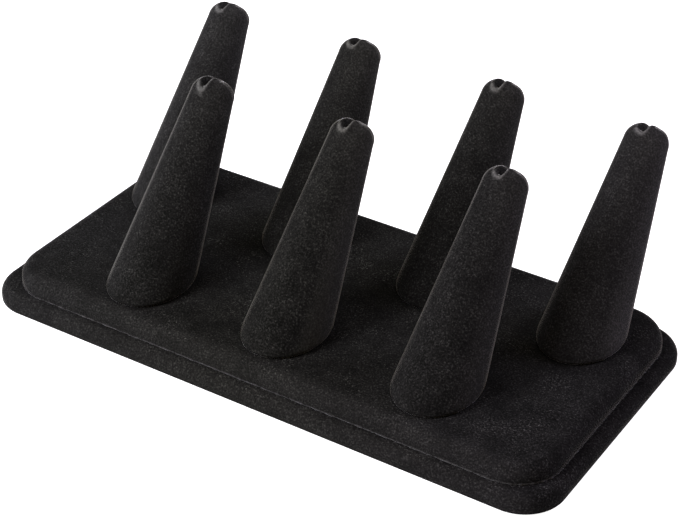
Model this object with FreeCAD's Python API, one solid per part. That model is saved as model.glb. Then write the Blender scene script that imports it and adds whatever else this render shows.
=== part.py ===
import FreeCAD, Part
import math
import os

from FreeCAD import Placement, Rotation, Vector

os.makedirs("parts", exist_ok=True)

# Ring display stand: seven leaning velvet fingers on a two-tier velvet base.
# Millimetres. X runs along the base, Y towards the back, where the fingers lean, and Z up.
# The origin is the middle of the underside, on the surface that the stand rests on.

# Base: two boards with rolled upper edges. The upper one is set in from the lower, and it was
# glued on a little to the right and to the back of the middle.
base_length = 222.9
base_width = 110.2
tier_inset_ends = 4.85
tier_inset_sides = 3.9
tier_shift_right = 0.6
tier_shift_back = 0.7
lower_board_thick = 4.4
upper_board_thick = 4.9
lower_corner_radius = 15.0
upper_corner_radius = 16.5
lower_edge_round = 4.0
upper_edge_round = 4.5

# Velvet wrapped round each board and turned under it, and the felt that closes the underside
velvet_thick = 0.9
glue_line = 0.1
board_turn_under = 12.0
hem_corner_radius = 6.0
lining_thick = 0.6
lining_margin = 4.0
lining_corner_radius = 11.0

# Fingers: wooden cones with domed tips, cut off at a slant so that they lean back
finger_length = 74.5
finger_lean = 34.1
foot_radius = 14.8
tip_radius = 7.75
tip_dome = 6.85
dome_power = 2.1
right_fullness = 0.7
foot_roll = 3.0
foot_ease = 1.2
foot_turn_under = 5.0
tip_cloth = 3.5
seam_width = 0.8
seam_depth = 0.4

# The two rows of fingers: how far the end fingers stand from the base's ends, and the middle of
# each row from the base's back and front edges
back_end_margin = 26.4
front_end_margin = 54.15
back_row_setback = 29.9
front_row_setback = 28.7

# How each finger was set by hand, from left to right: its shift in X and in Y, its lean to the
# side in degrees, how tightly its gather is drawn, as a share of the usual depth, and how far in
# millimetres the hollow of the gather reaches down the front
back_settings = [
    (-1.15, -0.8, -0.3, 0.9, 2.7),
    (0.15, 0.6, -1.4, 0.95, 2.5),
    (0.05, 0.9, 0.5, 1.05, 2.9),
    (-1.05, -0.7, 0.0, 0.85, 2.3),
]
front_settings = [
    (0.5, -1.0, 0.3, 1.1, 3.5),
    (-0.6, 0.1, 0.7, 1.0, 2.9),
    (0.5, 0.4, 0.4, 1.1, 2.4),
]

# Gathered tip: the velvet is drawn into a hole on the upper side of the tip. That leaves a pit
# with a puffed rim, and a cleft over the back where the two edges meet. The right edge laps a
# little over the left one, so both hollows are gentle on the left and steep on the right.
gather_tilt = 52.0
gather_hole_radius = 3.4
gather_hole_depth = 6.0
pit_depth = 2.3
pit_left = 2.3
pit_right = 1.3
pit_back = 3.6
pit_wall = 0.85
pit_floor_radius = 0.45
rim_puff = 0.3
rim_reach = 1.15
rim_width = 0.3
cleft_depth = 1.8
cleft_left = 1.6
cleft_right = 0.9
ridge_height = 0.35
ridge_offset = 1.9
ridge_width = 0.8
ridge_start = 0.8
right_drop = 0.55

# Where those forms fade in and out: distances in millimetres to the right of the gather and behind
# it, and angles away from it in degrees
cleft_fade_in = (0.5, 2.5)
cleft_fade_out = (105.0, 75.0)
ridge_fade_out = (60.0, 30.0)
drop_fade_right = (0.0, 1.5)
drop_fade_in = (1.0, 4.0)
drop_fade_out = (110.0, 80.0)

# Countersunk wood screws, one to a finger, driven up from under the base
screw_length = 25.0
screw_radius = 1.75
screw_head_radius = 3.4
screw_head_height = 2.2
screw_point = 4.0
screw_clearance = 0.15
pilot_spare = 1.0

# Levels in the stack, worked out from the thicknesses
lower_hem_z = lining_thick
lower_board_z = lower_hem_z + velvet_thick + glue_line
lower_top_z = lower_board_z + lower_board_thick + glue_line + velvet_thick
upper_board_z = lower_top_z + velvet_thick + glue_line
upper_top_z = upper_board_z + upper_board_thick + glue_line + velvet_thick
core_foot_z = upper_top_z + velvet_thick + glue_line

# The shape of each finger's velvet skin: points round it, the shares of the way up its wall and
# down its dome where its rows run, their angles from the gather, and the size of the pit's last rows
skin_columns = 24
skin_degree = 3
foot_shares = (1.0, 0.0)
wall_shares = (0.0, 0.5, 0.93)
dome_shares = (0.97, 0.85)
gather_angles = (42, 34, 27, 21, 15, 10, 6.5)
floor_shares = (1.5, 1.0)

# The cone's straight length, and how much its radius changes for each millimetre up the axis
straight = finger_length - tip_dome
taper = (tip_radius - foot_radius) / straight


def rounded_plate(length, width, corner_radius, z_low, z_high):
    """A flat plate with rounded corners, centred on the Z axis."""
    plate = Part.makeBox(length, width, z_high - z_low, Vector(-length / 2, -width / 2, z_low))
    upright = [e for e in plate.Edges if abs(e.tangentAt(e.FirstParameter).z) > 0.99]
    nearly_half = 0.49 * width
    return plate.makeFillet(min(corner_radius, nearly_half), upright)


def edges_at(shape, z):
    """The edges of a shape that lie flat at one level."""
    flat_within = 1e-6
    return [e for e in shape.Edges if all(abs(v.Z - z) < flat_within for v in e.Vertexes)]


def rolled_plate(inset, length, width, corner_radius, edge_round, z_low, z_high):
    """A plate drawn in by an inset on every side, with its upper edge rolled over."""
    plate = rounded_plate(length - 2 * inset, width - 2 * inset, corner_radius - inset, z_low, z_high)
    return plate.makeFillet(edge_round - inset, edges_at(plate, z_high))


def make_tier(length, width, corner_radius, edge_round, hem_z, top_z):
    """One tier of the base: its board, and the velvet wrapped over it and turned under it."""
    skin = velvet_thick + glue_line
    size = (length, width, corner_radius, edge_round)
    board = rolled_plate(skin, *size, hem_z + skin, top_z - skin)
    outside = rolled_plate(0, *size, hem_z, top_z)
    outside = outside.makeFillet(velvet_thick, edges_at(outside, hem_z))
    inside = rolled_plate(velvet_thick, *size, hem_z + velvet_thick, top_z - velvet_thick)
    hem = 2 * (velvet_thick + board_turn_under)
    window = rounded_plate(length - hem, width - hem, hem_corner_radius, hem_z, hem_z + velvet_thick)
    return board, outside.cut([inside, window])


def cone_form(inset, top):
    """The finger's cone drawn in by an inset, with a ball tip that reaches a height up the axis."""
    below = 2 * foot_radius
    low = Vector(foot_radius - inset - taper * below, 0, -below)
    half_angle = math.atan(-taper)
    centre_z = (top - (foot_radius - inset) * math.cos(half_angle)) / (1 + taper * math.cos(half_angle))
    ball = top - centre_z

    def on_ball(angle):
        return Vector(ball * math.cos(angle), 0, centre_z + ball * math.sin(angle))

    outline = [
        Part.makeLine(Vector(0, 0, -below), low),
        Part.makeLine(low, on_ball(half_angle)),
        Part.Arc(on_ball(half_angle), on_ball(math.pi / 3), Vector(0, 0, top)).toShape(),
        Part.makeLine(Vector(0, 0, top), Vector(0, 0, -below)),
    ]
    return Part.Face(Part.Wire(outline)).revolve(Vector(0, 0, 0), Vector(0, 0, 1), 360)


def gather_reach():
    """Distance from the middle of the tip's dome to the place where the velvet is gathered."""
    tilt = math.radians(gather_tilt)
    return 1 / math.hypot(math.sin(tilt) / tip_radius, math.cos(tilt) / tip_dome)


def step_up(value, low, high):
    """A smooth step from 0 at low to 1 at high."""
    share = min(max((value - low) / (high - low), 0.0), 1.0)
    return share * share * (3 - 2 * share)


def mound(distance, width):
    """A smooth rise to 1 at distance 0, which fades within about twice its width."""
    return math.exp(-(distance / width) ** 2)


def tip_relief(right, back, away, hollow):
    """How far the gathered velvet stands above the plain dome.

    right and back are the distances from the gather, to the finger's right and back towards its
    apex, away is the angle from the gather in degrees, and hollow the pit's reach down the front.
    """
    reach = math.hypot(right / (pit_left if right < 0 else pit_right), back / (hollow if back < 0 else pit_back))
    pit = step_up(reach, 1.0, 1.0 - pit_wall)
    cleft = mound(right, cleft_left if right < 0 else cleft_right)
    cleft *= step_up(back, *cleft_fade_in) * step_up(away, *cleft_fade_out)
    rim = mound(reach - rim_reach, rim_width) * (1 - cleft)
    ridge = mound(right - ridge_offset, ridge_width)
    ridge *= step_up(back + hollow, -ridge_start, ridge_start) * step_up(away, *ridge_fade_out)
    drop = step_up(right, *drop_fade_right) * step_up(back, *drop_fade_in) * step_up(away, *drop_fade_out)
    raised = rim_puff * rim + ridge_height * ridge
    return raised - pit_depth * pit - cleft_depth * cleft * (1 - pit) - right_drop * drop


class Finger:
    """One leaning finger: where it stands, which way it points and how it is gathered."""

    def __init__(self, name, x, y, side_lean, tightness, hollow):
        self.name = name
        self.tightness = tightness
        self.hollow = hollow
        turn = Rotation(Vector(0, 1, 0), side_lean).multiply(Rotation(Vector(1, 0, 0), -finger_lean))
        self.place = Placement(Vector(x, y, upper_top_z), turn)
        self.foot = self.place.Base
        self.across = turn.multVec(Vector(1, 0, 0))
        self.behind = turn.multVec(Vector(0, 1, 0))
        self.axis = turn.multVec(Vector(0, 0, 1))
        tilt = math.radians(gather_tilt)
        self.gather_axis = self.axis * math.cos(tilt) - self.behind * math.sin(tilt)
        self.gather_back = self.axis * math.sin(tilt) + self.behind * math.cos(tilt)

    def gather_place(self):
        """Place of the gather: on the tip's surface, with Z pointing out of the pit."""
        tilt = Rotation(Vector(1, 0, 0), gather_tilt)
        spot = Vector(0, 0, straight) + tilt.multVec(Vector(0, 0, gather_reach()))
        return self.place.multiply(Placement(spot, tilt))

    def foot_point(self, ring, share):
        """A point under the rolled foot, a share of the roll in from the wall."""
        rise = -foot_radius * ring.z / (self.axis.z + taper * ring.z)
        corner = self.foot + self.axis * rise + ring * (foot_radius + taper * rise)
        inward = Vector(self.foot.x - corner.x, self.foot.y - corner.y, 0).normalize()
        return corner + inward * (foot_roll * share)

    def wall_point(self, ring, share):
        """A point on the cone, between the top of the foot's roll and the start of the dome."""
        corner = self.foot_point(ring, 0.0)
        shoulder = self.foot + self.axis * straight + ring * tip_radius
        low = corner + (shoulder - corner).normalize() * foot_roll
        return low + (shoulder - low) * share

    def tip_point(self, ring, share=None, away=None):
        """A point on the gathered dome, by share of the way from the gather to the shoulder or by angle."""
        far = ring.getAngle(self.gather_axis)
        away = far * share if away is None else math.radians(away)
        toward = (ring - self.gather_axis * math.cos(far)) * (1 / math.sin(far))
        out = self.gather_axis * math.cos(away) + toward * math.sin(away)
        along = out.dot(self.axis)
        flat = out - self.axis * along
        power = dome_power + right_fullness * max(flat.dot(self.across), 0.0)
        fullness = (abs(along) ** power + flat.Length ** power) ** (-1 / power)
        spot = (self.axis * (along * tip_dome) + flat * tip_radius) * fullness
        lift = tip_relief(spot.dot(self.across), spot.dot(self.gather_back), math.degrees(away), self.hollow)
        return self.foot + self.axis * straight + spot + out * (lift * self.tightness)

    def pit_point(self, ring, radius):
        """A point on the flat floor of the pit."""
        far = ring.getAngle(self.gather_axis)
        toward = (ring - self.gather_axis * math.cos(far)) * (1 / math.sin(far))
        depth = gather_reach() - pit_depth * self.tightness
        return self.foot + self.axis * straight + self.gather_axis * depth + toward * radius

    def skin_rows(self):
        """The rows that shape the velvet, from under the foot, up over the tip and into the pit."""
        rows = [lambda ring, s=s: self.foot_point(ring, s) for s in foot_shares]
        rows += [lambda ring, s=s: self.wall_point(ring, s) for s in wall_shares]
        rows += [lambda ring, s=s: self.tip_point(ring, share=s) for s in dome_shares]
        rows += [lambda ring, a=a: self.tip_point(ring, away=a) for a in gather_angles]
        rows += [lambda ring, s=s: self.pit_point(ring, s * pit_floor_radius) for s in floor_shares]
        return rows

    def velvet_form(self):
        """The closed outer form of the velvet: one smooth skin, its foot face and its pit floor."""
        turns = [2 * math.pi * i / skin_columns for i in range(skin_columns)]
        rings = [self.behind * math.cos(t) + self.across * math.sin(t) for t in turns]
        poles = []
        for row in self.skin_rows():
            loop = Part.BSplineCurve()
            loop.interpolate(Points=[row(ring) for ring in rings], PeriodicFlag=True,
                             Parameters=[float(i) for i in range(skin_columns + 1)])
            poles.append(loop.getPoles())
        spans = len(poles) - skin_degree
        ends = skin_degree + 1
        skin = Part.BSplineSurface()
        skin.buildFromPolesMultsKnots(
            [list(column) for column in zip(*poles)],
            loop.getMultiplicities(), [ends] + [1] * (spans - 1) + [ends],
            loop.getKnots(), [float(i) for i in range(spans + 1)],
            True, False, loop.Degree, skin_degree)
        wall = skin.toShape()
        caps = [Part.Face(Part.Wire(e)) for e in wall.Edges if e.isClosed()]
        shell = Part.makeShell([wall] + caps)
        shell.sewShape()
        form = Part.makeSolid(shell)
        return form if form.Volume > 0 else form.reversed()

    def cone(self, inset, top, z_low, ease=0.0):
        """The finger's cone, drawn in by an inset and cut off level, with its foot's edge eased."""
        form = cone_form(inset, top)
        form.Placement = self.place
        reach = 4 * finger_length
        corner = Vector(self.foot.x - reach / 2, self.foot.y - reach / 2, z_low - reach)
        form = form.cut(Part.makeBox(reach, reach, reach, corner))
        return form.makeChamfer(ease, edges_at(form, z_low)) if ease else form

    def upright_hole(self, radius, z_low, z_high):
        """A round hole straight up through the middle of the foot."""
        return Part.makeCylinder(radius, z_high - z_low, Vector(self.foot.x, self.foot.y, z_low))

    def seam(self):
        """The strip missing down the middle of the back, where the two edges of the velvet meet."""
        height = finger_length + foot_radius
        strip = Part.makeBox(seam_width, foot_radius, height, Vector(-seam_width / 2, 0, 0))
        strip.Placement = self.place
        return strip.cut(self.cone(seam_depth, finger_length - seam_depth, lining_thick))

    def make_core(self):
        """The wooden cone, with the hole that takes the gather and the pilot hole for its screw."""
        skin = velvet_thick + glue_line
        core = self.cone(skin, finger_length - tip_cloth, core_foot_z, foot_ease)
        hole = Part.makeCylinder(gather_hole_radius, gather_hole_depth + tip_radius, Vector(0, 0, -gather_hole_depth))
        hole.Placement = self.gather_place()
        screw_top = lower_board_z + screw_length + pilot_spare
        pilot = self.upright_hole(screw_radius + screw_clearance, upper_top_z, screw_top)
        return core.cut([hole, pilot])

    def make_cover(self):
        """The velvet sleeve: gathered into the tip's hole, and turned under at the foot."""
        tuck_depth = gather_hole_depth - glue_line
        tuck = Part.makeCylinder(gather_hole_radius - glue_line, tuck_depth + tip_radius, Vector(0, 0, -tuck_depth))
        tuck.Placement = self.gather_place()
        inside = self.cone(velvet_thick, finger_length - tip_cloth + glue_line, core_foot_z - glue_line, foot_ease)
        hem = velvet_thick + foot_turn_under
        window = self.cone(hem, finger_length / 2, upper_top_z)
        return self.velvet_form().cut([inside.cut(tuck), window, self.seam()])

    def make_screw(self):
        """A countersunk wood screw, its head flush with the underside of the lower board."""
        base = lower_board_z
        tip = base + screw_length
        outline = [
            Vector(0, 0, base),
            Vector(screw_head_radius, 0, base),
            Vector(screw_radius, 0, base + screw_head_height),
            Vector(screw_radius, 0, tip - screw_point),
            Vector(0, 0, tip),
            Vector(0, 0, base),
        ]
        screw = Part.Face(Part.makePolygon(outline)).revolve(Vector(0, 0, 0), Vector(0, 0, 1), 360)
        screw.translate(Vector(self.foot.x, self.foot.y, 0))
        return screw

    def countersink(self):
        """The seat for the screw's head in the lower board."""
        wide = screw_head_radius + screw_clearance
        narrow = screw_radius + screw_clearance
        return Part.makeCone(wide, narrow, screw_head_height, Vector(self.foot.x, self.foot.y, lower_board_z))


def row_of_fingers(row, settings, end_margin, y):
    """The fingers of one row, numbered from the left and spread between the base's ends."""
    pitch = (base_length - 2 * end_margin) / (len(settings) - 1)
    fingers = []
    for i, (shift_x, shift_y, side_lean, tightness, hollow) in enumerate(settings):
        x = end_margin - base_length / 2 + i * pitch + shift_x
        fingers.append(Finger(f"{row}_{i + 1}", x, y + shift_y, side_lean, tightness, hollow))
    return fingers


def make_lining():
    """The felt glued over the turned-under velvet of the lower board."""
    length = base_length - 2 * lining_margin
    width = base_width - 2 * lining_margin
    return rounded_plate(length, width, lining_corner_radius, 0, lining_thick)


def export(node, shape):
    """Write one sub-part, and say what it holds."""
    shape.exportStep(f"parts/{node}.step")
    print(node, len(shape.Solids), "solid", shape.isValid(), round(shape.Volume, 1), "mm3")


fingers = row_of_fingers("back", back_settings, back_end_margin, base_width / 2 - back_row_setback)
fingers += row_of_fingers("front", front_settings, front_end_margin, front_row_setback - base_width / 2)

lower_board, lower_cover = make_tier(base_length, base_width, lower_corner_radius, lower_edge_round,
                                     lower_hem_z, lower_top_z)
upper_board, upper_cover = make_tier(base_length - 2 * tier_inset_ends, base_width - 2 * tier_inset_sides,
                                     upper_corner_radius, upper_edge_round, lower_top_z, upper_top_z)
upper_board.translate(Vector(tier_shift_right, tier_shift_back, 0))
upper_cover.translate(Vector(tier_shift_right, tier_shift_back, 0))

# The screws pass through both boards and both layers of velvet
clearance_holes = [f.upright_hole(screw_radius + screw_clearance, lower_hem_z, core_foot_z) for f in fingers]
export("underside_lining", make_lining())
export("lower_board", lower_board.cut(clearance_holes + [f.countersink() for f in fingers]))
export("lower_cover", lower_cover.cut(clearance_holes))
export("upper_board", upper_board.cut(clearance_holes))
export("upper_cover", upper_cover.cut(clearance_holes))
for finger in fingers:
    export(f"finger_core_{finger.name}", finger.make_core())
    export(f"finger_cover_{finger.name}", finger.make_cover())
export("finger_screws", Part.makeCompound([f.make_screw() for f in fingers]))
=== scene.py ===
import math

import bpy
import numpy as np
from mathutils import Matrix, Vector


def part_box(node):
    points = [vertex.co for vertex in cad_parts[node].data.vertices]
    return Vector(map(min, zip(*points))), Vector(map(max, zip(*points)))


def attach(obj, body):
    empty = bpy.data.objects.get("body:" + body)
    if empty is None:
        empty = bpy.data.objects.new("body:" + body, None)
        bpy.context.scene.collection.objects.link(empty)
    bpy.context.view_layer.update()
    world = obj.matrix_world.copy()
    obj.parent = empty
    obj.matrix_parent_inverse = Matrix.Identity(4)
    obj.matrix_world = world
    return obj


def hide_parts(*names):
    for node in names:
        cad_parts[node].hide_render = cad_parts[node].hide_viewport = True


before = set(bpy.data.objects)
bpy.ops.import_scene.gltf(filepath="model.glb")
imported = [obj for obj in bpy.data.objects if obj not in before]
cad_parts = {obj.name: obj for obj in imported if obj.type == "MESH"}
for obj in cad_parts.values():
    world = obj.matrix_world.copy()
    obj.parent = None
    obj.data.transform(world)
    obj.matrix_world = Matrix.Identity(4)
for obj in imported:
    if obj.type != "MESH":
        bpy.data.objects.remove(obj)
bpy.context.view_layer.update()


# Underside felt. A thin sheet of pressed black felt, cut with shears a little smaller than the base
# and glued over the turned-under velvet, so that the stand slides on a counter without a scratch.
def linear(hex_colour):
    """An sRGB hex colour as linear red, green, blue and alpha."""
    shares = [int(hex_colour[i:i + 2], 16) / 255 for i in (1, 3, 5)]
    return [s / 12.92 if s <= 0.04045 else ((s + 0.055) / 1.055) ** 2.4 for s in shares] + [1.0]


def add(tree, kind, inputs, stops=(), **settings):
    """Adds a node: the values or links of its inputs, a ramp's stops from low to high, and its settings."""
    node = tree.nodes.new(kind)
    for name, value in settings.items():
        setattr(node, name, value)
    for i, (position, hex_colour) in enumerate(stops):
        # A new ramp comes with two stops
        stop = node.color_ramp.elements[i] if i < 2 else node.color_ramp.elements.new(position)
        stop.position = position
        stop.color = linear(hex_colour)
    for socket, value in inputs.items():
        if isinstance(value, bpy.types.NodeSocket):
            tree.links.new(value, node.inputs[socket])
        else:
            node.inputs[socket].default_value = value
    return node


def new_material(name, surface):
    """A material with only its output and its shader, which has the values of its surface: the material,
    its tree and its shader."""
    material = bpy.data.materials.new(name)
    material.use_nodes = True
    tree = material.node_tree
    shader = tree.nodes["Principled BSDF"]
    for socket, value in surface.items():
        shader.inputs[socket].default_value = value
    return material, tree, shader


def per_mm(size):
    """The scale that makes a pattern repeat about once in a size in millimetres."""
    return 1000.0 / size


def node_box(node):
    """The lowest and the highest corner of a node, in millimetres."""
    return [corner * 1000 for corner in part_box(node)]


def finish_piece(name, points, faces, material, slot, *nodes):
    """Makes a piece from points in millimetres and puts it in the place of the solids it stands for."""
    mesh = bpy.data.meshes.new(name)
    mesh.from_pydata([tuple(p) for p in np.asarray(points) / 1000.0], [], faces)
    mesh.validate()
    mesh.shade_smooth()
    mesh.materials.append(material)
    piece = bpy.data.objects.new(name, mesh)
    bpy.context.scene.collection.objects.link(piece)
    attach(piece, "root")
    if nodes:
        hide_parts(*nodes)
    return piece


def skin_faces(rows, columns):
    """The faces of a closed skin: rings of points from one pole to the other, and a fan at each pole."""
    faces = []
    last = 1 + (rows - 1) * columns
    pole = 1 + rows * columns
    for i in range(columns):
        j = (i + 1) % columns
        faces.append((0, 1 + j, 1 + i))
        faces.append((pole, last + i, last + j))
    for row in range(rows - 1):
        low = 1 + row * columns
        high = low + columns
        for i in range(columns):
            j = (i + 1) % columns
            faces.append((low + i, low + j, high + j, high + i))
    return faces


smallest_radius = 0.02


def rounded_loop(length, width, radius, columns=240):
    """Points round a rectangle with rounded corners, closer together on its corners."""
    radius = max(radius, smallest_radius)
    across, along = length / 2 - radius, width / 2 - radius
    middles = np.array([(across, along), (-across, along), (-across, -along), (across, -along)])
    on_corner = columns // 8
    on_side = columns // 4 - on_corner
    points = []
    for quarter in range(4):
        start = quarter * math.pi / 2
        for step in range(on_corner):
            angle = start + math.pi / 2 * step / on_corner
            points.append(middles[quarter] + radius * np.array([math.cos(angle), math.sin(angle)]))
        end = start + math.pi / 2
        out = radius * np.array([math.cos(end), math.sin(end)])
        first, second = middles[quarter] + out, middles[(quarter + 1) % 4] + out
        points += [first + (second - first) * (step / on_side) for step in range(on_side)]
    return np.array(points)


def plate_skin(low_corner, high_corner, radius, section):
    """Points of a closed skin round a plate in a box, from a section of (inset, height) points."""
    size = high_corner - low_corner
    middle = (low_corner + high_corner) / 2
    rings = []
    for inset, height in section:
        loop = rounded_loop(size.x - 2 * inset, size.y - 2 * inset, radius - inset)
        rings.append(np.column_stack([loop + np.array(middle.xy), np.full(len(loop), height)]))
    low = np.array([[middle.x, middle.y, section[0][1]]])
    high = np.array([[middle.x, middle.y, section[-1][1]]])
    return np.vstack([low, *rings, high]), skin_faces(len(rings), len(rings[0]))


felt_corner_radius = 11.0
felt_cut_edge = 0.1
felt_insets = [51.0, 40.0, 25.0, 10.0, 2.0, 0.3, 0.08]
felt_low, felt_high = node_box("underside_lining")
felt_section = [(inset, felt_low.z) for inset in felt_insets]
felt_section += [(0.0, felt_low.z + felt_cut_edge), (0.0, felt_high.z - felt_cut_edge)]
felt_section += [(inset, felt_high.z) for inset in reversed(felt_insets)]

# Wool fibres pressed into a sheet scatter the light, which gives a dull, cloudy black with no gloss.
# The fibres are 0.03 mm thick, too fine to show, so they are drawn as tangles a millimetre across.
felt_tangle = 1.0
felt, felt_tree, felt_shader = new_material("Pressed black felt", {"Roughness": 0.95, "Sheen Weight": 0.1})
felt_place = add(felt_tree, "ShaderNodeTexCoord", {}).outputs["Object"]
felt_fibres = add(felt_tree, "ShaderNodeTexNoise",
                  {"Vector": felt_place, "Scale": per_mm(felt_tangle), "Detail": 5.0, "Roughness": 0.7,
                   "Distortion": 1.5}).outputs["Fac"]
felt_colour = add(felt_tree, "ShaderNodeValToRGB", {"Fac": felt_fibres},
                  stops=[(0.36, "#101012"), (0.68, "#38383b")])
felt_bump = add(felt_tree, "ShaderNodeBump", {"Height": felt_fibres, "Strength": 0.5, "Distance": 0.0002})
felt_tree.links.new(felt_colour.outputs["Color"], felt_shader.inputs["Base Color"])
felt_tree.links.new(felt_bump.outputs["Normal"], felt_shader.inputs["Normal"])

felt_skin = plate_skin(felt_low, felt_high, felt_corner_radius, felt_section)
felt_sheet = finish_piece("underside_felt", *felt_skin, felt, "black_felt", "underside_lining")


# Boards. Two panels of medium-density fibreboard, routed with rounded corners and a rolled upper edge,
# and drilled for the screws. The velvet hides them.
def dress(node, material):
    """Gives a solid of the frame its material."""
    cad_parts[node].data.materials.clear()
    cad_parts[node].data.materials.append(material)


# Wood fibres pressed with resin give a matt, evenly speckled brown. They are drawn as clumps, because
# single ones are too fine to show.
fibre_clump = 1.2
fibreboard, board_tree, board_shader = new_material("Medium-density fibreboard", {"Roughness": 0.8})
board_place = add(board_tree, "ShaderNodeTexCoord", {}).outputs["Object"]
board_fibres = add(board_tree, "ShaderNodeTexNoise",
                   {"Vector": board_place, "Scale": per_mm(fibre_clump), "Detail": 5.0, "Roughness": 0.7})
board_colour = add(board_tree, "ShaderNodeValToRGB", {"Fac": board_fibres.outputs["Fac"]},
                   stops=[(0.0, "#7d5f40"), (1.0, "#b08f68")])
board_tree.links.new(board_colour.outputs["Color"], board_shader.inputs["Base Color"])
dress("lower_board", fibreboard)
dress("upper_board", fibreboard)


# Tier covers. Black cut-pile velvet, glued over each board and turned 12 mm under it. The pile stands
# about a millimetre high, so the cloth is nearly black face on and paler where the eye grazes it.
velvet_thick = 0.9
board_turn_under = 12.0
lower_corner_radius = 15.0
upper_corner_radius = 16.5
lower_edge_round = 4.0
upper_edge_round = 4.5

# Velvet has no polish: its upright pile swallows light face on and scatters what grazes it, so most of
# its shine is sheen
velvet, pile_tree, pile_shader = new_material(
    "Black cut-pile velvet",
    {"Roughness": 1.0, "Specular IOR Level": 0.04, "Sheen Weight": 1.0, "Sheen Roughness": 0.15,
     "Sheen Tint": linear("#dcdad8")})
pile_place = add(pile_tree, "ShaderNodeTexCoord", {}).outputs["Object"]

# Tufts give the cloth its fine grain. Real ones are 0.2 mm wide, too fine to show, so they are drawn
# three times as wide.
tuft = 0.6
tufts = add(pile_tree, "ShaderNodeTexNoise",
            {"Vector": pile_place, "Scale": per_mm(tuft), "Detail": 3.0, "Roughness": 0.6}).outputs["Fac"]
tuft_colour = add(pile_tree, "ShaderNodeValToRGB", {"Fac": tufts},
                  stops=[(0.38, "#0c0c0b"), (0.56, "#1a1a19"), (0.72, "#363634")])
tuft_bump = add(pile_tree, "ShaderNodeBump", {"Height": tufts, "Strength": 0.6, "Distance": 0.0004})

# The nap lies one way here and another way there, in patches a hand leaves, which clouds the black
nap_patch = 9.0
nap = add(pile_tree, "ShaderNodeTexNoise",
          {"Vector": pile_place, "Scale": per_mm(nap_patch), "Detail": 5.0, "Roughness": 0.7})
nap_shade = add(pile_tree, "ShaderNodeMapRange",
                {"Value": nap.outputs["Fac"], "From Min": 0.32, "From Max": 0.76,
                 "To Min": 0.6, "To Max": 1.7})
napped = add(pile_tree, "ShaderNodeMix",
             {"Factor": 1.0, 6: tuft_colour.outputs["Color"], 7: nap_shade.outputs["Result"]},
             data_type="RGBA", blend_type="MULTIPLY")

# Lint leaves pale flecks, thicker in drifts, and most of it settles on faces that point up
lint_fleck = 0.65
lint_drift = 14.0
lint_drifts = add(pile_tree, "ShaderNodeTexNoise",
                  {"Vector": pile_place, "Scale": per_mm(lint_drift), "Detail": 2.0})
lint_density = add(pile_tree, "ShaderNodeMapRange",
                   {"Value": lint_drifts.outputs["Fac"], "From Min": 0.35, "From Max": 0.65,
                    "To Min": -0.04, "To Max": 0.05})
lint_flecks = add(pile_tree, "ShaderNodeTexNoise",
                  {"Vector": pile_place, "Scale": per_mm(lint_fleck), "Detail": 4.0, "Roughness": 0.7,
                   "Distortion": 0.6})
lint_level = add(pile_tree, "ShaderNodeMath",
                 {0: lint_flecks.outputs["Fac"], 1: lint_density.outputs["Result"]}, operation="ADD")
lint_shown = add(pile_tree, "ShaderNodeMapRange",
                 {"Value": lint_level.outputs["Value"], "From Min": 0.63, "From Max": 0.73,
                  "To Min": 0.0, "To Max": 0.42})
pile_normal = add(pile_tree, "ShaderNodeNewGeometry", {}).outputs["Normal"]
pile_facing = add(pile_tree, "ShaderNodeSeparateXYZ", {"Vector": pile_normal})
lint_settled = add(pile_tree, "ShaderNodeMapRange",
                   {"Value": pile_facing.outputs["Z"], "From Min": 0.5, "From Max": 0.95,
                    "To Min": 0.2, "To Max": 1.15})
lint_amount = add(pile_tree, "ShaderNodeMath",
                  {0: lint_shown.outputs["Result"], 1: lint_settled.outputs["Result"]},
                  operation="MULTIPLY")
linted = add(pile_tree, "ShaderNodeMix",
             {"Factor": lint_amount.outputs["Value"], 6: napped.outputs[2], 7: linear("#83837f")},
             data_type="RGBA")

# Pale pile mixed in tuft by tuft. On the tiers it is wear, where handling brushes the pile up along the
# front edge. On the fingers it is mostly painted light: paler towards the tips and by a share all over,
# with a painted highlight along the pit's lip; it also makes them paler low on the right side. The mesh
# says where.
wear_and_painted_light = add(pile_tree, "ShaderNodeAttribute", {}, attribute_name="wear_and_painted_light")
wear_and_light_by_tuft = add(pile_tree, "ShaderNodeMapRange",
                 {"Value": tufts, "From Min": 0.38, "From Max": 0.66, "To Min": 0.7, "To Max": 1.3})
wear_and_light_amount = add(pile_tree, "ShaderNodeMath",
                  {0: wear_and_painted_light.outputs["Fac"], 1: wear_and_light_by_tuft.outputs["Result"]}, operation="MULTIPLY")
# Mixes in the pale pile of wear and painted light
brushed_and_lit = add(pile_tree, "ShaderNodeMix",
              {"Factor": wear_and_light_amount.outputs["Value"], 6: linted.outputs[2], 7: linear("#7f7f7c")},
              data_type="RGBA")

# Painted highlight: a paler colour is painted along the cloth's outline, where the eye grazes it,
# standing in for the pile's tips catching the light. A point attribute on the mesh says where this
# painted highlight is left out.
rim_facing = add(pile_tree, "ShaderNodeLayerWeight", {"Blend": 0.5})
painted_rim = add(pile_tree, "ShaderNodeMapRange",
                     {"Value": rim_facing.outputs["Facing"], "From Min": 0.66, "From Max": 0.9,
                      "To Min": 0.0, "To Max": 0.45})
# Where the painted rim highlight is left out
painted_rim_hidden = add(pile_tree, "ShaderNodeAttribute", {}, attribute_name="painted_rim_hidden")
painted_rim_kept = add(pile_tree, "ShaderNodeMath", {0: 1.0, 1: painted_rim_hidden.outputs["Fac"]}, operation="SUBTRACT")
painted_rim_share = add(pile_tree, "ShaderNodeMath",
                {0: painted_rim.outputs["Result"], 1: painted_rim_kept.outputs["Value"]}, operation="MULTIPLY")
# The painted rim highlight mixed into the colour
rim_highlighted = add(pile_tree, "ShaderNodeMix",
             {"Factor": painted_rim_share.outputs["Value"], 6: brushed_and_lit.outputs[2], 7: linear("#7c7c77")},
             data_type="RGBA")
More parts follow.
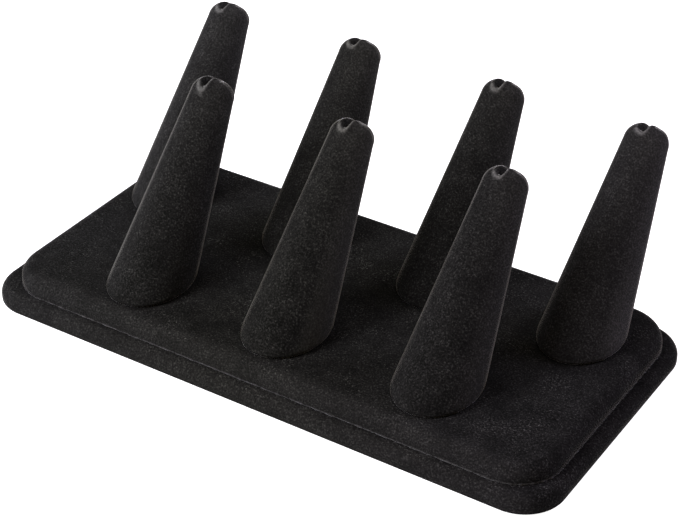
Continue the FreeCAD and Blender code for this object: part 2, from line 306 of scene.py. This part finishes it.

# Painted light tint: the colour is multiplied by a tint that stands in for the colour of the light, a
# trace bluer at the stand's left end, yellower in its middle and more purple at its right end
pile_along = add(pile_tree, "ShaderNodeSeparateXYZ", {"Vector": pile_place})
light_tint_share = add(pile_tree, "ShaderNodeMapRange",
                {"Value": pile_along.outputs["X"], "From Min": -0.11, "From Max": 0.11})
light_tint_ramp = add(pile_tree, "ShaderNodeValToRGB", {"Fac": light_tint_share.outputs["Result"]},
               stops=[(0.0, "#fdfdff"), (0.45, "#fffff6"), (1.0, "#fdf8ff")])
light_tinted = add(pile_tree, "ShaderNodeMix",
           {"Factor": 1.0, 6: rim_highlighted.outputs[2], 7: light_tint_ramp.outputs["Color"]},
           data_type="RGBA", blend_type="MULTIPLY")
pile_tree.links.new(light_tinted.outputs[2], pile_shader.inputs["Base Color"])
pile_tree.links.new(tuft_bump.outputs["Normal"], pile_shader.inputs["Normal"])


def arc_section(radius, inset, height, start, end, steps):
    """Section points on an arc about a centre, with angles from the plate's outside towards its top."""
    angles = [math.radians(start + (end - start) * i / steps) for i in range(steps + 1)]
    return [(inset - radius * math.cos(a), height + radius * math.sin(a)) for a in angles]


def step_up(value, low, high):
    """A smooth step from 0 at low to 1 at high."""
    share = np.clip((value - low) / (high - low), 0.0, 1.0)
    return share * share * (3 - 2 * share)


def store_rim_and_pale_pile(cover, rim_hidden_shares, wear_and_light_shares):
    """Stores at each point of a cover how far the painted rim highlight is hidden and how much pale
    pile it gets for wear and painted light.
    """
    for name, shares in (("painted_rim_hidden", rim_hidden_shares), ("wear_and_painted_light", wear_and_light_shares)):
        cover.data.attributes.new(name, "FLOAT", "POINT").data.foreach_set("value", shares)


# Most of the painted rim highlight is left off the tiers. Hands brush the pile up along the front
# edge, more and more from 7 mm in to 2 mm in.
tier_rim_hidden = 0.75
front_wear = 0.035
front_wear_start = 7.0
front_wear_end = 2.0
cover_insets = [50.0, 44.0, 36.0, 28.0, 21.0, 16.0, 12.0, 9.0, 7.0]
fold_ease = 0.05


def tier_cover(name, node, corner_radius, edge_round):
    """The velvet of one tier, as a closed skin: inside, turned-under hem and outside."""
    low, high = node_box(node)
    hem_edge = velvet_thick + board_turn_under
    hem_top = low.z + velvet_thick
    section = [(inset, high.z - velvet_thick) for inset in cover_insets]
    section += arc_section(edge_round - velvet_thick, edge_round, high.z - edge_round, 90, 0, 8)
    section += [(velvet_thick, hem_top + fold_ease), (velvet_thick + fold_ease, hem_top)]
    section += [(hem_edge, hem_top), (hem_edge, low.z)]
    section += arc_section(velvet_thick, velvet_thick, hem_top, -90, 0, 6)
    section += arc_section(edge_round, edge_round, high.z - edge_round, 0, 90, 12)
    section += [(inset, high.z) for inset in reversed(cover_insets)]
    points, faces = plate_skin(low, high, corner_radius, section)
    cover = finish_piece(name, points, faces, velvet, "black_velvet", node)
    at_front = step_up(-points[:, 1], -low.y - front_wear_start, -low.y - front_wear_end)
    store_rim_and_pale_pile(cover, np.full(len(points), tier_rim_hidden), front_wear * at_front)


tier_cover("lower_tier_velvet", "lower_cover", lower_corner_radius, lower_edge_round)
tier_cover("upper_tier_velvet", "upper_cover", upper_corner_radius, upper_edge_round)


# Crease pile. Where the upper tier is glued on the lower one, the pile of both is pressed out of the
# joint, and stands all round it in a thin, uneven line.
crease_inset = 0.25
crease_corner_radius = 16.2
crease_height = 0.4
crease_radius = 0.33
crease_columns = 720
crease_sides = 8

# Three waves along the line make it uneven: each a share of its thickness, its radians to the
# millimetre and its start
crease_waves = [(0.22, 1.9, 0.0), (0.16, 3.7, 1.1), (0.12, 7.3, 0.4)]

# Crushed pile has lost its order, so it scatters more light than the velvet, in pale and dark clumps
pile_clump = 2.2
crushed, crushed_tree, crushed_shader = new_material(
    "Crushed velvet pile",
    {"Roughness": 1.0, "Specular IOR Level": 0.04, "Sheen Weight": 0.6, "Sheen Roughness": 0.3})
crushed_place = add(crushed_tree, "ShaderNodeTexCoord", {}).outputs["Object"]
crushed_clumps = add(crushed_tree, "ShaderNodeTexNoise",
                     {"Vector": crushed_place, "Scale": per_mm(pile_clump), "Detail": 4.0,
                      "Roughness": 0.7})
crushed_colour = add(crushed_tree, "ShaderNodeValToRGB", {"Fac": crushed_clumps.outputs["Fac"]},
                     stops=[(0.38, "#1c1b1a"), (0.66, "#4a4948")])
crushed_tree.links.new(crushed_colour.outputs["Color"], crushed_shader.inputs["Base Color"])


def pile_line(name, path):
    """A closed line of pile round a joint, uneven in its thickness."""
    along = np.roll(path, -1, axis=0) - np.roll(path, 1, axis=0)
    along /= np.linalg.norm(along, axis=1)[:, None]
    out = np.cross(along, [0, 0, 1])
    place = np.cumsum(np.linalg.norm(np.diff(path, axis=0, append=path[:1]), axis=1))
    uneven = 1 + sum(share * np.sin(place * rate + start) for share, rate, start in crease_waves)
    turns = np.arange(crease_sides) * 2 * math.pi / crease_sides
    points = []
    for spot, side, size in zip(path, out, uneven * crease_radius):
        for turn in turns:
            points.append(spot + (side * math.cos(turn) + np.array([0, 0, math.sin(turn)])) * size)
    faces = []
    for ring in range(len(path)):
        low, high = ring * crease_sides, (ring + 1) % len(path) * crease_sides
        for side in range(crease_sides):
            other = (side + 1) % crease_sides
            faces.append((low + side, low + other, high + other, high + side))
    finish_piece(name, points, faces, crushed, "black_velvet")


upper_low, upper_high = node_box("upper_cover")
upper_size, upper_middle = upper_high - upper_low, (upper_low + upper_high) / 2
crease = rounded_loop(upper_size.x - 2 * crease_inset, upper_size.y - 2 * crease_inset,
                      crease_corner_radius, crease_columns) + np.array(upper_middle.xy)
pile_line("crease_pile", np.column_stack([crease, np.full(len(crease), upper_low.z + crease_height)]))


# Finger cores. Cones turned from softwood, domed at the tip and sawn off at a slant so that they lean
# back, each with a hole that takes the gathered cloth. The velvet hides them.

# Growth rings give turned softwood its pale and dark bands. The cores are hidden, so the rings are
# drawn broad: at this pattern size they come about 19 mm apart.
growth_rings = 60.0
softwood, wood_tree, wood_shader = new_material("Turned softwood", {"Roughness": 0.7})
wood_place = add(wood_tree, "ShaderNodeTexCoord", {}).outputs["Object"]
wood_rings = add(wood_tree, "ShaderNodeTexWave",
                 {"Vector": wood_place, "Scale": per_mm(growth_rings), "Distortion": 2.0, "Detail": 3.0},
                 wave_type="RINGS", rings_direction="X")
wood_colour = add(wood_tree, "ShaderNodeValToRGB", {"Fac": wood_rings.outputs["Fac"]},
                  stops=[(0.0, "#b98f5c"), (1.0, "#dcbb86")])
wood_tree.links.new(wood_colour.outputs["Color"], wood_shader.inputs["Base Color"])
for node in sorted(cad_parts):
    if node.startswith("finger_core"):
        dress(node, softwood)


# Screws. Countersunk steel wood screws, plated with zinc. One is driven up through both boards into
# each finger, and pulls it down on the velvet.

# Zinc plating is a pale grey metal. The driver and the wood dull it in spots.
dull_spot = 2.0
zinc, zinc_tree, zinc_shader = new_material("Zinc-plated steel",
                                            {"Base Color": linear("#c3c5c2"), "Metallic": 1.0})
zinc_place = add(zinc_tree, "ShaderNodeTexCoord", {}).outputs["Object"]
zinc_wear = add(zinc_tree, "ShaderNodeTexNoise",
                {"Vector": zinc_place, "Scale": per_mm(dull_spot), "Detail": 3.0})
zinc_gloss = add(zinc_tree, "ShaderNodeMapRange",
                 {"Value": zinc_wear.outputs["Fac"], "To Min": 0.25, "To Max": 0.5})
zinc_tree.links.new(zinc_gloss.outputs["Result"], zinc_shader.inputs["Roughness"])
dress("finger_screws", zinc)


# Finger covers. Each is a sleeve of the same velvet, its edges butted down the back. The cloth is
# drawn together at the tip, pushed into the hole there and turned under at the foot. Sizes are in
# millimetres, and leans and angles in degrees.
finger_length = 74.5
finger_lean = 34.1
foot_radius = 14.8
tip_radius = 7.75
tip_dome = 6.85
dome_power = 2.1
right_fullness = 0.7
foot_roll = 3.0
foot_ease = 1.2
foot_turn_under = 5.0
hem_pull = 0.09
tip_cloth = 3.5
straight = finger_length - tip_dome
taper = (tip_radius - foot_radius) / straight

# The gather: how far forward of the tip it lies, the hole in the core, how deep the cloth goes into
# it, the ring at the plug's end, and the angle from the gather within which the rings are round
gather_tilt = math.radians(52.0)
gather_hole = 3.3
gather_plug = 5.9
plug_ring = 1.5
gather_spread = math.radians(36.0)
tip_reach = 1 / math.hypot(math.sin(gather_tilt) / tip_radius, math.cos(gather_tilt) / tip_dome)

# Forms about the gather: a pit with a puffed rim, a cleft over the back where the cloth's two edges
# meet, a ridge along the cleft's right edge and a lower lobe behind it on the right
pit_depth = 2.3
pit_left = 2.3
pit_right = 1.3
pit_back = 3.6
pit_wall = 0.85
rim_puff = 0.3
rim_reach = 1.15
rim_width = 0.3
cleft_depth = 1.8
cleft_left = 1.6
cleft_right = 0.9
cleft_fade_in = (0.5, 2.5)
cleft_fade_out = (105.0, 75.0)
ridge_height = 0.35
ridge_offset = 1.9
ridge_width = 0.8
ridge_start = 0.8
ridge_fade_out = (60.0, 30.0)
right_drop = 0.55
drop_fade_right = (0.0, 1.5)
drop_fade_in = (1.0, 4.0)
drop_fade_out = (110.0, 80.0)

# A small fold of spare cloth under the pit, with a groove above it. Both curve round the pit's middle,
# wider to the sides, and lie a little to its left.
fold_height = 0.25
fold_reach = 1.5
fold_width = 0.5
groove_depth = 0.2
groove_reach = 0.75
groove_width = 0.4
fold_sideways = 0.7
fold_shift = 0.2
fold_middle = -0.4
fold_spread = 2.0
fold_fade_in = (-0.3, 1.8)

# The seam down the back. It ends where the cloth turns in at the tip, at these angles from the gather.
seam_width = 0.8
seam_depth = 0.4
seam_softness = 0.4
seam_fade_in = (75.0, 105.0)

# Points round a finger, with three more on each side of the seam, and rings along it. The pit's floor
# is where the last ring, at a tiny angle from the gather, has its middle.
even_columns = 160
seam_shares = np.array([0.25, 0.5, 0.75])
floor_angle = 0.001
roll_rings = 9
wall_rings = 50
dome_rings = 44
plug_shares = (0.33, 0.66, 1.0)
ball_rings = 14
sleeve_rings = 8

# Painted light, and where the painted rim highlight is hidden. A painted highlight runs along the pit's
# lip, in front and on the right. Paler pile is painted in as light towards the tips, more to their right,
# and the fingers are paler low on the right side. The painted rim highlight is left out low on the left
# and at the foot, and dimmed a little all over but at the tip. The pairs say where each fades.
lip_highlight = 0.45
lip_reach = 1.2
lip_width = 0.27
lip_rise = (0.0, 4.0)
lip_front = (0.0, 0.7)
lip_right = (0.0, 1.0)
lip_right_share = 0.85
tip_light_rise = 3
tip_light_middle = 0.4
tip_light_sideways = 0.8
tip_light_most = 1.2
right_side = (0.6, 0.95)
left_side = (0.2, 0.7)
left_top = (0.6, 0.85)
foot_top = (1.5, 6.0)
rim_dim_share = 0.25
rim_dim_top = (0.8, 0.95)

# Each finger was set by hand, so each has its own shift in X and Y, its lean to the side in degrees,
# and its gather: how tightly it is drawn in, and how far its hollow reaches down the front. Last come
# its shares of painted light and of the painted rim's mask: painted light towards the tip, painted
# light all over, paler low on the right, and the painted rim highlight hidden low on the left.
back_fingers = [
    (-1.15, -0.8, -0.3, 0.9, 2.7, (0.1, 0.035, 0.05, 0.5)),
    (0.15, 0.6, -1.4, 0.95, 2.5, (0.1, 0.015, 0.03, 0.8)),
    (0.05, 0.9, 0.5, 1.05, 2.9, (0.1, 0.005, 0.08, 0.8)),
    (-1.05, -0.7, 0.0, 0.85, 2.3, (0.09, 0.03, 0.09, 0.8)),
]
front_fingers = [
    (0.5, -1.0, 0.3, 1.1, 3.5, (0.08, 0.01, 0.03, 0.0)),
    (-0.6, 0.1, 0.7, 1.0, 2.9, (0.1, 0.005, 0.15, 0.8)),
    (0.5, 0.4, 0.4, 1.1, 2.4, (0.1, 0.005, 0.07, 0.8)),
]
back_end_margin = 26.4
back_row_setback = 29.9
front_end_margin = 54.15
front_row_setback = 28.7


def mound(value, middle, width):
    """A soft mound, 1 at its middle and fading over a width to both sides."""
    return np.exp(-((value - middle) / width) ** 2)


def unit(ways):
    """Directions brought to a length of one."""
    return ways / np.linalg.norm(ways, axis=1)[:, None]


def pit_reach(right, back, hollow):
    """How far out a place lies in the pit, from 0 at its middle to 1 at its edge."""
    half_width = np.where(right < 0, pit_left, pit_right)
    half_length = np.where(back < 0, hollow, pit_back)
    return np.hypot(right / half_width, back / half_length)


def tip_relief(right, back, away, hollow):
    """How far the gathered velvet stands above the plain dome, from the place in millimetres about the
    gather, to the finger's right and back towards its apex, and from the angle away from the gather."""
    reach = pit_reach(right, back, hollow)
    pit = step_up(reach, 1.0, 1.0 - pit_wall)
    cleft = mound(right, 0.0, np.where(right < 0, cleft_left, cleft_right))
    cleft = cleft * step_up(back, *cleft_fade_in) * step_up(away, *cleft_fade_out)
    rim = mound(reach, rim_reach, rim_width) * (1 - cleft)
    ridge = mound(right, ridge_offset, ridge_width)
    ridge = ridge * step_up(back, -hollow - ridge_start, -hollow + ridge_start)
    ridge = ridge * step_up(away, *ridge_fade_out)
    drop = step_up(right, *drop_fade_right) * step_up(back, *drop_fade_in) * step_up(away, *drop_fade_out)
    in_front = step_up(-back, *fold_fade_in) * mound(right, fold_middle, fold_spread)
    below_pit = np.hypot(right * fold_sideways + fold_shift, back) - hollow
    groove = mound(below_pit, groove_reach, groove_width) * in_front
    fold = mound(below_pit, fold_reach, fold_width) * in_front
    raised = rim_puff * rim + ridge_height * ridge + fold_height * fold - groove_depth * groove
    return raised - pit_depth * pit - cleft_depth * cleft * (1 - pit) - right_drop * drop


class FingerForm:
    """The form of one finger's velvet: where it stands, how it leans, and the rings its skin follows."""

    def __init__(self, foot, side_lean, tightness, hollow):
        turn = Matrix.Rotation(math.radians(side_lean), 3, "Y")
        turn = turn @ Matrix.Rotation(math.radians(-finger_lean), 3, "X")
        self.across, behind, self.axis = [np.array(turn.col[i]) for i in range(3)]
        self.foot = foot
        self.crown = foot + self.axis * straight
        self.gather = self.axis * math.cos(gather_tilt) - behind * math.sin(gather_tilt)
        self.gather_back = self.axis * math.sin(gather_tilt) + behind * math.cos(gather_tilt)
        self.plug_depth = self.gather * (tip_reach - gather_plug)
        self.tightness = tightness
        self.hollow = hollow
        even_turns = np.linspace(0, 2 * math.pi, even_columns, endpoint=False)
        seam_turns = even_turns[1] * seam_shares
        self.turns = np.sort(np.concatenate([even_turns, seam_turns, 2 * math.pi - seam_turns]))[:, None]
        self.ring = behind * np.cos(self.turns) + self.across * np.sin(self.turns)
        self.far = np.arccos(self.ring @ self.gather)[:, None]
        self.toward = (self.ring - self.gather * np.cos(self.far)) / np.sin(self.far)

    def foot_corner(self, inset):
        """The corner of the cone's foot, drawn in by an inset, at the level of the base."""
        uphill = self.ring[:, 2:]
        rise = -(foot_radius - inset) * uphill / (self.axis[2] + taper * uphill)
        return self.foot + self.axis * rise + self.ring * (foot_radius - inset + taper * rise)

    def seamed(self, place, out, share=1.0):
        """A ring with the groove where the sleeve's two edges meet, down the finger's back."""
        aside = ((place - self.foot) @ self.across)[:, None]
        on_back = np.cos(self.turns) > 0.5
        return place - out * seam_depth * share * mound(aside, 0.0, seam_softness * seam_width) * on_back

    def dome(self, away):
        """A ring on the gathered dome, at an angle from the gather."""
        out = self.gather * np.cos(away) + self.toward * np.sin(away)
        along = (out @ self.axis)[:, None]
        flat = out - self.axis * along
        power = dome_power + right_fullness * np.clip(flat @ self.across, 0, 1)[:, None]
        size = np.linalg.norm(flat, axis=1)[:, None]
        fullness = (np.abs(along) ** power + size ** power) ** (-1 / power)
        place = self.crown + (self.axis * along * tip_dome + flat * tip_radius) * fullness
        right = ((place - self.crown) @ self.across)[:, None]
        back = ((place - self.crown) @ self.gather_back)[:, None]
        gathered = place + out * tip_relief(right, back, np.degrees(away), self.hollow) * self.tightness
        return self.seamed(gathered, out, step_up(np.degrees(away), *seam_fade_in))

    def outside(self):
        """Rings from the hem's edge, round the foot, up the cone and over the dome into the pit."""
        corner = self.foot_corner(0)
        shoulder = self.crown + self.ring * tip_radius
        inward, upward = unit(self.foot - corner), unit(shoulder - corner)
        start, end = corner + inward * foot_roll, corner + upward * foot_roll
        rings = [start * (1 - share) ** 2 + corner * 2 * share * (1 - share) + end * share ** 2
                 for share in np.linspace(0, 1, roll_rings)]
        low = rings[-1]
        rings += [low + (shoulder - low) * share for share in np.linspace(0, 1, wall_rings)[1:]]
        rings = [self.seamed(place, self.ring) for place in rings]
        hem_edge = corner + inward * (velvet_thick + foot_turn_under)
        down = np.linspace(1, 0, dome_rings)[1:]
        rings += [self.dome(gather_spread + (self.far - gather_spread) * share) for share in down]
        rings += [self.dome(np.full_like(self.far, gather_spread * share)) for share in down[:-1]]
        return [hem_edge, *rings]

    def inside(self, hem_edge):
        """Rings from the plug's end, over the core's rounded tip and down its side, to the hem's top."""
        ball_top = finger_length - tip_cloth
        lean_in = math.atan(-taper)
        wide = (foot_radius - velvet_thick) * math.cos(lean_in)
        ball_height = (ball_top - wide) / (1 + taper * math.cos(lean_in))
        ball_radius = ball_top - ball_height
        ball = self.foot + self.axis * ball_height
        tuck_edge = self.toward * gather_hole
        offset = self.crown - ball + tuck_edge
        along_gather = offset @ self.gather
        rise = -along_gather + np.sqrt(along_gather ** 2 - (offset ** 2).sum(axis=1) + ball_radius ** 2)
        mouth = self.crown + tuck_edge + self.gather * rise[:, None]
        plug_end = self.crown + tuck_edge + self.plug_depth
        rings = [self.crown + self.toward * plug_ring + self.plug_depth, plug_end]
        rings += [plug_end + (mouth - plug_end) * share for share in plug_shares]
        start = (mouth - ball) / ball_radius
        contact = self.ring * math.cos(lean_in) + self.axis * math.sin(lean_in)
        rings += [ball + ball_radius * unit(start * (1 - share) + contact * share)
                  for share in np.linspace(0, 1, ball_rings)[1:]]
        level = self.foot_corner(velvet_thick)
        top = rings[-1]
        up = (top - level) / (top - level)[:, 2:]
        eased = level + up * (velvet_thick + foot_ease)
        rings += [top + (eased - top) * share for share in np.linspace(0, 1, sleeve_rings)[1:]]
        fold = level + up * velvet_thick
        rings.append(fold + (self.foot - fold) * np.array([1, 1, 0]) * hem_pull)
        return [*rings, hem_edge + np.array([0, 0, velvet_thick])]

    def skin(self):
        """The points of the whole skin, from the middle of the plug's end to the floor of the pit."""
        outside = self.outside()
        first = (self.crown + self.plug_depth)[None, :]
        pit_floor = self.dome(np.full_like(self.far, floor_angle)).mean(axis=0)[None, :]
        rings = self.inside(outside[0]) + outside
        return np.vstack([first, *rings, pit_floor]), skin_faces(len(rings), len(self.ring))

    def pile(self, points, at_tip, all_over, on_right, rim_hidden_on_left):
        """How far the painted rim highlight is hidden and the share of painted light, at each point of the
        skin.
        """
        from_crown = points - self.crown
        right, back, up = [from_crown @ way for way in (self.across, self.gather_back, self.gather)]
        # A painted highlight along the pit's lip
        lip = mound(pit_reach(right, back, self.hollow), lip_reach, lip_width) * step_up(up, *lip_rise)
        in_front = step_up(-back / self.hollow, *lip_front)
        lip *= np.maximum(in_front, lip_right_share * step_up(right, *lip_right))
        height = (points - self.foot) @ self.axis
        side = (points - self.foot) @ self.across / (foot_radius + taper * height)
        risen = height / finger_length
        # Painted light: paler towards the tip, more to its right
        to_right = np.clip(tip_light_middle + tip_light_sideways * side, 0, tip_light_most)
        tip_painted_light = at_tip * risen ** tip_light_rise * to_right
        # Paler low on the right side
        right_paler = on_right * step_up(side, *right_side) * np.clip(1 - risen, 0, 1)
        # Where the painted rim highlight is hidden or dimmed
        rim_hidden_left = rim_hidden_on_left * step_up(-side, *left_side) * (1 - step_up(risen, *left_top))
        rim_hidden_foot = 1 - step_up(points[:, 2] - self.foot[2], *foot_top)
        rim_dimmed = rim_dim_share * (1 - step_up(risen, *rim_dim_top))
        rim_hidden_shares = np.maximum(rim_hidden_foot, np.maximum(rim_hidden_left, rim_dimmed))
        return rim_hidden_shares, tip_painted_light + all_over + right_paler + lip_highlight * lip


def finger_cover(name, x, y, side_lean, tightness, hollow, pile_and_painted_light):
    """One finger's velvet, as a closed skin: the plug in the tip, inside, hem, outside and pit."""
    node = f"finger_cover_{name}"
    form = FingerForm(np.array([x, y, node_box(node)[0].z]), side_lean, tightness, hollow)
    points, faces = form.skin()
    cover = finish_piece(f"finger_velvet_{name}", points, faces, velvet, "black_velvet", node)
    # Stores where the painted rim highlight is hidden and the shares of painted light
    store_rim_and_pale_pile(cover, *form.pile(points, *pile_and_painted_light))


def finger_row(row, fingers, end_margin, row_y):
    """A row of finger covers, evenly spaced between the end margins but for each one's own shift."""
    pitch = (base_high.x - base_low.x - 2 * end_margin) / (len(fingers) - 1)
    for i, (shift_x, shift_y, *own) in enumerate(fingers):
        x = base_low.x + end_margin + i * pitch + shift_x
        finger_cover(f"{row}_{i + 1}", x, row_y + shift_y, *own)


base_low, base_high = node_box("lower_cover")
finger_row("back", back_fingers, back_end_margin, base_high.y - back_row_setback)
finger_row("front", front_fingers, front_end_margin, base_low.y + front_row_setback)


# The ground. A plain white sheet under the stand, with nothing on it but the stand's soft shadow. It
# lies 0.2 mm under the felt, and is see-through from beneath so that a view from there shows the felt.
ground_level = -0.0002
ground_reach = 6


def seen_white(tree):
    """1 for rays that see the white surroundings: the camera's, and those off metal and through glass."""
    rays = add(tree, "ShaderNodeLightPath", {})
    mirrored = add(tree, "ShaderNodeMath",
                   {0: rays.outputs["Is Camera Ray"], 1: rays.outputs["Is Glossy Ray"]},
                   operation="MAXIMUM")
    seen = add(tree, "ShaderNodeMath",
               {0: mirrored.outputs["Value"], 1: rays.outputs["Is Transmission Ray"]}, operation="MAXIMUM")
    return seen.outputs["Value"]


# Matt white paper takes the stand's shadow, and its own glow makes it plain white to the camera
paper, paper_tree, paper_shader = new_material(
    "White paper sweep", {"Base Color": linear("#e6e6e6"), "Roughness": 1.0, "Specular IOR Level": 0.0})
paper_glow = add(paper_tree, "ShaderNodeEmission",
                 {"Color": linear("#ffffff"), "Strength": seen_white(paper_tree)})
paper_lit = add(paper_tree, "ShaderNodeAddShader", {0: paper_shader.outputs[0], 1: paper_glow.outputs[0]})
paper_back = add(paper_tree, "ShaderNodeNewGeometry", {}).outputs["Backfacing"]
paper_clear = add(paper_tree, "ShaderNodeBsdfTransparent", {})
paper_sides = add(paper_tree, "ShaderNodeMixShader",
                  {0: paper_back, 1: paper_lit.outputs[0], 2: paper_clear.outputs[0]})
paper_tree.links.new(paper_sides.outputs[0], paper_tree.nodes["Material Output"].inputs["Surface"])

ground_mesh = bpy.data.meshes.new("ground")
ground_corners = [(-ground_reach, -ground_reach), (ground_reach, -ground_reach),
                  (ground_reach, ground_reach), (-ground_reach, ground_reach)]
ground_mesh.from_pydata([(x, y, ground_level) for x, y in ground_corners], [], [(0, 1, 2, 3)])
ground_mesh.materials.append(paper)
ground = bpy.data.objects.new("ground", ground_mesh)
bpy.context.scene.collection.objects.link(ground)


# The light. A white room that the camera sees as plain white, but that lights the stand only dimly and
# warmly. Four square soft lamps light it: the key lamp high at the front left, one low on the left, a
# weak one high behind, and one high at the right behind.
room_strength = 0.135
world = bpy.data.worlds.new("White room")
bpy.context.scene.world = world
world.use_nodes = True
room = world.node_tree
room_seen = seen_white(room)
room_level = add(room, "ShaderNodeMix", {"Factor": room_seen, 2: room_strength, 3: 1.0}, data_type="FLOAT")
room_tint = add(room, "ShaderNodeMix",
                {"Factor": room_seen, 6: linear("#ffd878"), 7: linear("#ffffff")}, data_type="RGBA")
room.links.new(room_tint.outputs[2], room.nodes["Background"].inputs["Color"])
room.links.new(room_level.outputs[0], room.nodes["Background"].inputs["Strength"])
lamp_target = Vector((0, 0, 0.03))


def lamp(name, place, size, power, colour):
    """A square soft lamp that faces the stand."""
    light = bpy.data.lights.new(name, "AREA")
    light.size = size
    light.energy = power
    light.color = linear(colour)[:3]
    light_object = bpy.data.objects.new(name, light)
    light_object.location = place
    light_object.rotation_euler = (lamp_target - Vector(place)).to_track_quat("-Z", "Y").to_euler()
    bpy.context.scene.collection.objects.link(light_object)


lamp("key_lamp", (-0.6, -0.75, 0.75), 0.7, 20.5, "#f4f2ff")
lamp("left_lamp", (-1.2, 0.1, 0.25), 0.6, 8.0, "#eeefff")
lamp("back_lamp", (-0.5, 0.8, 0.8), 0.6, 2.5, "#ffffff")
lamp("right_lamp", (0.7, 0.7, 0.6), 0.5, 8.0, "#e4e0ff")


# The camera, at the photograph's viewing angle, which was solved from the outlines of the stand. Its
# focal length was found in pixels, in a frame 679 pixels wide.
camera_azimuth = math.radians(32.64)
camera_elevation = math.radians(33.10)
camera_roll = math.radians(0.23)
camera_distance = 0.696587
camera_target = Vector((-0.021782, 0.038840, -0.000406))
camera_back = Vector((math.sin(camera_azimuth) * math.cos(camera_elevation),
                      -math.cos(camera_azimuth) * math.cos(camera_elevation), math.sin(camera_elevation)))
level_right = Vector((math.cos(camera_azimuth), math.sin(camera_azimuth), 0))
level_up = camera_back.cross(level_right)
camera_right = level_right * math.cos(camera_roll) + level_up * math.sin(camera_roll)
camera_up = camera_back.cross(camera_right)
lens = bpy.data.cameras.new("camera")
lens.sensor_width = 36.0
lens.lens = 1883.109 / 679 * lens.sensor_width
camera = bpy.data.objects.new("camera", lens)
bpy.context.scene.collection.objects.link(camera)
turned = Matrix((camera_right, camera_up, camera_back)).transposed().to_4x4()
camera.matrix_world = Matrix.Translation(camera_target + camera_back * camera_distance) @ turned
bpy.context.scene.camera = camera
bpy.context.scene.view_settings.view_transform = "Standard"
